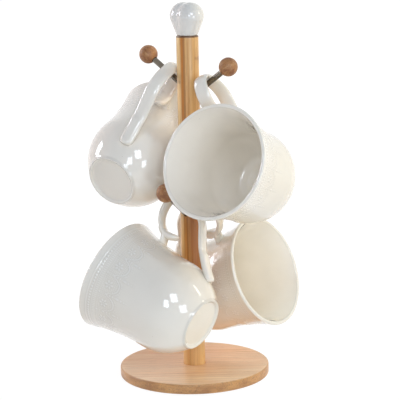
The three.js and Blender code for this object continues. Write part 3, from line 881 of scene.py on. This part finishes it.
def inside_outline():
    """From below the lip down the wall, round the corner and across the cup's floor."""
    t = np.linspace(0, 1, 60)
    line = np.concatenate([bezier(LOWER, t)[18:], bezier(UPPER, t)[1:]])
    tangent = np.gradient(line, axis=0)
    tangent /= np.linalg.norm(tangent, axis=1)[:, None]
    thickness = np.interp(line[:, 1], [0, MUG_HEIGHT - 14, MUG_HEIGHT - LIP / 2], [WALL, WALL, LIP])
    wall = line + np.stack([-tangent[:, 1], tangent[:, 0]], 1) * thickness[:, None]
    outline = list(wall[wall[:, 1] > FLOOR + 2.5][-2::-2])
    corner_radius, corner_height = outline[-1]
    for s in np.linspace(0, 1, 8)[1:]:
        start, middle, end = (1 - s) ** 2, 2 * s * (1 - s), s**2
        radius = corner_radius * (start + middle * 0.86 + end * 0.62)
        outline.append((radius, FLOOR + (corner_height - FLOOR) * start + 0.1 * middle))
    outline += [(r, FLOOR) for r in np.linspace(corner_radius * 0.5, 3, 6)]
    return outline + [(0, FLOOR)]


def mug_body():
    """Points and faces from the foot's middle up, round the lip and in, and the points' relief and pool."""
    total = outside_length[-1]
    band_low = total - LACE_BOTTOM
    lip = LIP / 2
    band_high = total - LACE_TOP
    plain = outside_at(np.arange(0, band_low - 3, BODY_STEP))
    near_band = outside_at(np.arange(band_low - 2.6, band_low - 0.4, NEAR_STEP))
    rim = outside_at(np.arange(band_high + 0.3, total - 0.2, RIM_STEP))
    rounded_lip = arc((RIM_RADIUS - lip, MUG_HEIGHT - lip), lip, 0, 180, 13)
    below = [ring(r, z, BODY_POINTS) for r, z in [*foot_outline(), *plain]]
    below += [ring(r, z, NEAR_POINTS) for r, z in near_band]
    laced, heights = zip(*[lace_ring(length) for length in np.arange(band_low, band_high, LACE_STEP)])
    above = [ring(r, z, NEAR_POINTS) for r, z in [*rim, *rounded_lip]]
    inside = [ring(r, z, BODY_POINTS) for r, z in inside_outline()]
    rows = np.array(heights)
    none_below, none_above, none_inside = (np.zeros(sum(map(len, rings))) for rings in (below, above, inside))
    relief = np.concatenate([none_below, rows.ravel(), none_above, none_inside + INSIDE_MARK])
    pool = np.concatenate([none_below, hollows(rows).ravel(), none_above, none_inside])
    return *skin([*below, *laced, *above, *inside]), relief, pool


# ---- Mug handle ----

STRAP_WIDTH, STRAP_THICKNESS = 12.4, 4.6
ROOT, NECK, EAR = (39.8, 68.3), (52.1, 73), (71.5, 83.6)
TOP, ELBOW, END = (82.3, 71), (69.5, 43), (33.0, 12.3)
ROOT_FILLET, END_FILLET = 2.2, 0.9
SUNK = 2.2

HANDLE = [
    [ROOT, (45, 69.3), (49.6, 69.9), NECK],
    [NECK, (54.4, 75.9), (58.5, EAR[1]), EAR],
    [EAR, (79, EAR[1]), (TOP[0], 79), TOP],
    [TOP, (TOP[0], 58), (78, 47.8), ELBOW],
    [ELBOW, (57, 36), (46, 29), END],
]


ROOT_SPAN, END_SPAN = 9, 26
ROOT_STEP, LOOP_STEP, END_STEP = 0.4, 1.2, 0.5


def handle_line():
    """Points and directions along the loop, close together near the wall."""
    line = np.concatenate([bezier(HANDLE[0], fine_t)] + [bezier(leg, fine_t)[1:] for leg in HANDLE[1:]])
    length = np.concatenate([[0], np.cumsum(np.linalg.norm(np.diff(line, axis=0), axis=1))])
    total = length[-1]
    near_root = np.arange(0, ROOT_SPAN, ROOT_STEP)
    loop = np.arange(ROOT_SPAN, total - END_SPAN, LOOP_STEP)
    near_end = total - np.arange(0, END_SPAN, END_STEP)[::-1]
    stations = np.unique(np.clip(np.concatenate([near_root, loop, near_end]), 0, total))
    points = np.stack([np.interp(stations, length, line[:, k]) for k in (0, 1)], 1)
    ahead = np.stack([np.interp(stations + 0.3, length, line[:, k]) for k in (0, 1)], 1)
    behind = np.stack([np.interp(stations - 0.3, length, line[:, k]) for k in (0, 1)], 1)
    direction = ahead - behind
    direction /= np.linalg.norm(direction, axis=1)[:, None]
    return points, direction, stations, total


def section(count, squareness):
    """Points round a flat oval of half size 1; squareness below 1 fills its corners."""
    angle = (np.arange(count) + 0.5) / count * TURN
    out, across = np.cos(angle), np.sin(angle)
    return np.sign(out) * np.abs(out) ** squareness, np.sign(across) * np.abs(across) ** squareness


def strap_rings(points, direction, width, thickness, inward, count=48, squareness=0.92):
    """Rings of a flat strap along a line in the XZ plane; inward moves the section off the line."""
    out, across = section(count, squareness)
    rings = []
    for (x, z), (dx, dz), w, t, shift in zip(points, direction, width, thickness, inward):
        place = out * t / 2 - shift
        rings.append(np.stack([x + dz * place, across * w / 2, z - dx * place], 1))
    return rings


def ease(share):
    """A smooth step from 0 to 1."""
    share = np.clip(share, 0, 1)
    return share * share * (3 - 2 * share)


def rounded(left, reach):
    """A quarter round: 0 at an end and 1 from its reach on."""
    return np.sqrt(np.clip(1 - (1 - np.clip(left / reach, 0, 1)) ** 2, 0, 1))


def capped(rings):
    """A strap's closed skin."""
    caps = [rings[0].mean(0)[None], *rings, rings[-1].mean(0)[None]]
    return skin([r[::-1] for r in caps])


def fillet_into_wall(rings, reach):
    """Spreads the rings that come near the bell's wall, and keeps their ends inside it."""
    spread = []
    for r in rings:
        radius = np.hypot(r[:, 0], r[:, 1])
        slope = wall_slope(r[:, 2])
        lean = 1 / np.sqrt(1 + slope**2)
        depth = (radius - wall_radius(r[:, 2])) * lean
        radial = np.stack([r[:, 0] / radius, r[:, 1] / radius, np.zeros(len(r))], 1)
        normal = radial * lean[:, None]
        normal[:, 2] = -slope * lean
        centre = r.mean(0)
        away = r - centre
        away -= (away * normal).sum(1)[:, None] * normal
        size = np.linalg.norm(away, axis=1)
        away /= np.maximum(size, 1e-6)[:, None]
        near = np.clip(1 - depth / reach, 0, 1)
        push = reach * (1 - np.sqrt(1 - np.minimum(near, 0.97) ** 2))
        r = r + away * push[:, None]
        radius = np.hypot(r[:, 0], r[:, 1])
        depth = (radius - wall_radius(r[:, 2])) * lean
        lift = np.maximum(-SUNK - depth, 0)
        spread.append(r + normal * lift[:, None])
    return spread


def mug_handle():
    """The strap: it swells past the elbow, thickens to a wedge at the wall, and ends in a rounded nose."""
    points, direction, stations, total = handle_line()
    left = total - stations
    third = len(stations) // 3
    swell = ease(np.clip((stations - 62) / 16, 0, 1) * np.clip((left - 24) / 2.5, 0, 1))
    wedge = ease((27 - left) / 2.5)
    width = STRAP_WIDTH * (0.3 + 0.7 * rounded(left, 6.5))
    thick = (STRAP_THICKNESS + 0.9 * swell + 2.4 * wedge) * (0.7 + 0.3 * rounded(left, 3.6))
    rings = strap_rings(points, direction, width, thick, 0.45 * swell + 1.2 * wedge)
    return capped(fillet_into_wall(rings[:third], ROOT_FILLET) + fillet_into_wall(rings[third:], END_FILLET))


CURL = [(56.6, 78.4), (50.6, 74.5), (48.4, 66.8), (53.5, 58.2)]
CURL_LENGTH = 22.5
CURL_WIDTH, CURL_TAPER = 12.2, 1.0
CURL_THICKNESS = [(0, 4.2), (0.4, 6.0), (0.68, 6.6), (0.9, 5.0), (1, 4.4)]


def thumb_curl():
    """The curl inside the loop, which leaves the ear and ends in a round tip."""
    t = np.sin(np.linspace(0, math.pi / 2, 48))
    line = bezier(CURL, t)
    direction = np.gradient(line, t, axis=0)
    direction /= np.linalg.norm(direction, axis=1)[:, None]
    left = (1 - t) * CURL_LENGTH
    width = (CURL_WIDTH - CURL_TAPER * t) * (0.12 + 0.88 * rounded(left, 5.4))
    thick = np.interp(t, *zip(*CURL_THICKNESS)) * (0.15 + 0.85 * rounded(left, 3.2))
    return capped(strap_rings(line, direction, width, thick, np.zeros(len(t)), 32, 0.74))


JOIN_START, JOIN_HALF_WIDTH, JOIN_LOW = 30 * MM, 16 * MM, 5 * MM
WALL_DEPTH = 1.2 * MM
CREASE_COSINE, CREASE_REACH, SMOOTH_ROUNDS = math.cos(math.radians(24)), 3, 14


def smooth_joins(piece):
    """Rounds the creases where the strap meets the wall, as thick glaze does."""
    mesh = piece.data
    count = len(mesh.vertices)
    place = np.empty(count * 3)
    mesh.vertices.foreach_get("co", place)
    place = place.reshape(-1, 3)
    edges = np.empty(len(mesh.edges) * 2, int)
    mesh.edges.foreach_get("vertices", edges)
    edges = edges.reshape(-1, 2)
    normals = np.empty(len(mesh.polygons) * 3)
    mesh.polygons.foreach_get("normal", normals)
    normals = normals.reshape(-1, 3)
    owner = {}
    crease = np.zeros(count, bool)
    for face in mesh.polygons:
        for key in face.edge_keys:
            other = owner.get(key)
            if other is None:
                owner[key] = face.index
            elif normals[other] @ normals[face.index] < CREASE_COSINE:
                crease[list(key)] = True
    zone = (place[:, 0] > JOIN_START) & (np.abs(place[:, 1]) < JOIN_HALF_WIDTH) & (place[:, 2] > JOIN_LOW)
    zone &= np.hypot(place[:, 0], place[:, 1]) > wall_radius(place[:, 2] / MM) * MM - WALL_DEPTH
    crease &= zone
    weight = crease.astype(float)
    degree = np.bincount(edges.ravel(), minlength=count)
    for _ in range(CREASE_REACH):
        spread = np.zeros(count)
        np.maximum.at(spread, edges[:, 0], weight[edges[:, 1]])
        np.maximum.at(spread, edges[:, 1], weight[edges[:, 0]])
        weight = np.maximum(weight, spread * 0.8)
    weight *= zone
    for _ in range(SMOOTH_ROUNDS):
        total = np.zeros((count, 3))
        np.add.at(total, edges[:, 0], place[edges[:, 1]])
        np.add.at(total, edges[:, 1], place[edges[:, 0]])
        middle = total / np.maximum(degree, 1)[:, None]
        place = place + (middle - place) * 0.5 * weight[:, None]
    mesh.vertices.foreach_set("co", place.ravel())
    mesh.update()


points, faces, relief, pool = mug_body()
mug = new_piece("mug_shape", points, faces)
for layer, values in (("relief", relief), ("pool", pool)):
    mug.data.attributes.new(layer, "FLOAT", "POINT").data.foreach_set("value", values)
combine(mug, [new_piece("strap", *mug_handle()), new_piece("curl", *thumb_curl())], "UNION")
smooth_joins(mug)
mug_mesh = mug.data
bpy.data.objects.remove(mug)

# ---- Mugs on their pegs ----

HANG_TILT, HANG_LEAN, HANG_YAW = math.radians(20.5), math.radians(26), math.radians(-2.6)
HANG_IN, HANG_DROP = 0.9, 6.8
HANG_POINT = Vector((
    TOP[0] - STRAP_THICKNESS / 2 - PEG_RADIUS - HANG_IN,
    0,
    EAR[1] - STRAP_THICKNESS / 2 - PEG_RADIUS - HANG_DROP,
)) * MM
HANG_REACH = 22.9 * MM


def hung(joint):
    """Where a mug's own frame lies when it hangs on a peg."""
    rise = Vector(joint["axis"]).normalized()
    yaw = -math.pi / 2 + HANG_YAW
    axis = pointing(yaw, HANG_TILT)
    to_post = Vector((math.sin(yaw), -math.cos(yaw), 0))
    upright = to_post.cross(axis).normalized()
    handle = upright * math.cos(HANG_LEAN) + to_post * math.sin(HANG_LEAN)
    side = axis.cross(handle)
    turn = Matrix((handle, side, axis)).transposed()
    azimuth = math.atan2(rise.y, rise.x)
    reach = Vector((math.hypot(rise.x, rise.y), 0, rise.z)) * HANG_REACH
    local = Matrix.Translation(reach - turn @ HANG_POINT) @ turn.to_4x4()
    return Matrix.Translation(Vector(joint["pos_m"])) @ Matrix.Rotation(azimuth, 4, "Z") @ local


for side, joint in swings.items():
    hung_mug = bpy.data.objects.new(f"ceramic_mug_{side}", mug_mesh.copy())
    bpy.context.scene.collection.objects.link(hung_mug)
    hung_mug.matrix_basis = hung(joint)
    put(hung_mug, f"mug_{side}_body", "mug", f"mug_{side}", angle=48)

# ---- Floor, lights and camera ----

FLOOR_RADIUS, FLOOR_DROP = 6000, 0.1


def studio_floor():
    """White paper just under the pads, which takes the shadow and fades to plain white further out."""
    floor = new_piece("studio_floor", *skin([ring(0, -FLOOR_DROP, 1), ring(FLOOR_RADIUS, -FLOOR_DROP, 64)]))
    floor.data.flip_normals()
    f = Finish("floor_paper", Roughness=0.9)
    f.set("Base Color", tint(250, 250, 249))
    white = f.node("ShaderNodeEmission", None, {"Color": (1, 1, 1, 1), "Strength": 1.09})
    out = f.from_axis(f.node("ShaderNodeTexCoord", output="Object"))
    share = f.seen() * (0.86 + 0.14 * out.rise(0.25, 1.2))
    blend = f.node("ShaderNodeMixShader", None, {0: share, 1: Value(f, f.shader.outputs[0]), 2: white})
    f.feed(f.tree.nodes["Material Output"].inputs["Surface"], blend)
    floor.data.materials.append(f.material)


def surroundings(colour, strength):
    """A dim world that lights the object, and looks white."""
    world = bpy.data.worlds.new("studio")
    bpy.context.scene.world = world
    world.use_nodes = True
    w = Nodes(world.node_tree)
    dim = w.node("ShaderNodeBackground", None, {"Color": colour, "Strength": strength})
    white = w.node("ShaderNodeBackground", None, {"Color": (1, 1, 1, 1)})
    blend = w.node("ShaderNodeMixShader", None, {0: w.seen(), 1: dim, 2: white})
    w.feed(w.tree.nodes["World Output"].inputs["Surface"], blend)


AIM = Vector((0, 0, 0.17))
LAMP_DISTANCE = 1.8


def softbox(name, azimuth, elevation, width, height, power, colour, mirrored=True):
    """A soft lamp seen from the stand's middle at an azimuth from +X and an elevation, in degrees."""
    way = pointing(math.radians(azimuth), math.radians(elevation))
    lamp = bpy.data.lights.new(name, "AREA")
    lamp.shape, lamp.size, lamp.size_y = "RECTANGLE", width, height
    lamp.energy, lamp.color = power, colour
    holder = bpy.data.objects.new(name, lamp)
    bpy.context.scene.collection.objects.link(holder)
    turn = way.to_track_quat("Z", "Y").to_matrix().to_4x4()
    holder.matrix_world = Matrix.Translation(AIM + way * LAMP_DISTANCE) @ turn
    holder.visible_glossy = mirrored


def fill(name, azimuth, elevation, power, colour):
    """A broad lamp that no gloss mirrors."""
    softbox(name, azimuth, elevation, 1.0, 1.0, power, colour, mirrored=False)


DAYLIGHT = (0.80, 0.88, 1.0)

studio_floor()
surroundings(tint(236, 240, 246), 0.03)
softbox("front_high", -76, 27, 0.44, 0.60, 6.0, DAYLIGHT)
softbox("front_low", -60, 2, 0.46, 0.52, 4.7, DAYLIGHT)
softbox("front_side", -95, 14, 0.32, 0.52, 3.8, DAYLIGHT)
softbox("left_panel", 162, 20, 0.36, 0.60, 8.0, (0.85, 0.89, 1.0))
softbox("warm_strip", -2, 28, 0.14, 0.60, 2.0, (1.0, 0.95, 0.82))
fill("front_fill", -80, 14, 1.5, (1.0, 0.98, 0.94))
fill("sky_fill", -90, 48, 4.0, (0.66, 0.78, 1.0))
fill("warm_low", 10, 12, 11.6, (1.0, 0.80, 0.48))
fill("warm_side", 60, 12, 7.4, (1.0, 0.62, 0.20))
fill("cool_high", 30, 48, 9.4, (0.70, 0.92, 1.0))
fill("back_fill", 150, 12, 12.5, (1.0, 0.80, 0.76))
fill("top_fill", 0, 86, 2.2, (1.0, 0.94, 0.88))

scene = bpy.context.scene
scene.view_settings.view_transform = "Standard"

CAMERA_PLACE = Vector((0, -1.3, 0.4007))
CAMERA_PITCH, CAMERA_YAW, CAMERA_ROLL = math.radians(10.71), math.radians(0.345), math.radians(-1.23)
lens = bpy.data.cameras.new("camera")
lens.lens, lens.sensor_width = 138.13, 36.0
camera = bpy.data.objects.new("camera", lens)
scene.collection.objects.link(camera)
ahead = pointing(math.pi / 2 - CAMERA_YAW, -CAMERA_PITCH)
right = pointing(-CAMERA_YAW, 0)
above = right.cross(ahead)
tilted_right = math.cos(CAMERA_ROLL) * right + math.sin(CAMERA_ROLL) * above
tilted_up = math.cos(CAMERA_ROLL) * above - math.sin(CAMERA_ROLL) * right
turn = Matrix((tilted_right, tilted_up, -ahead)).transposed().to_4x4()
camera.matrix_world = Matrix.Translation(CAMERA_PLACE) @ turn
scene.camera = camera
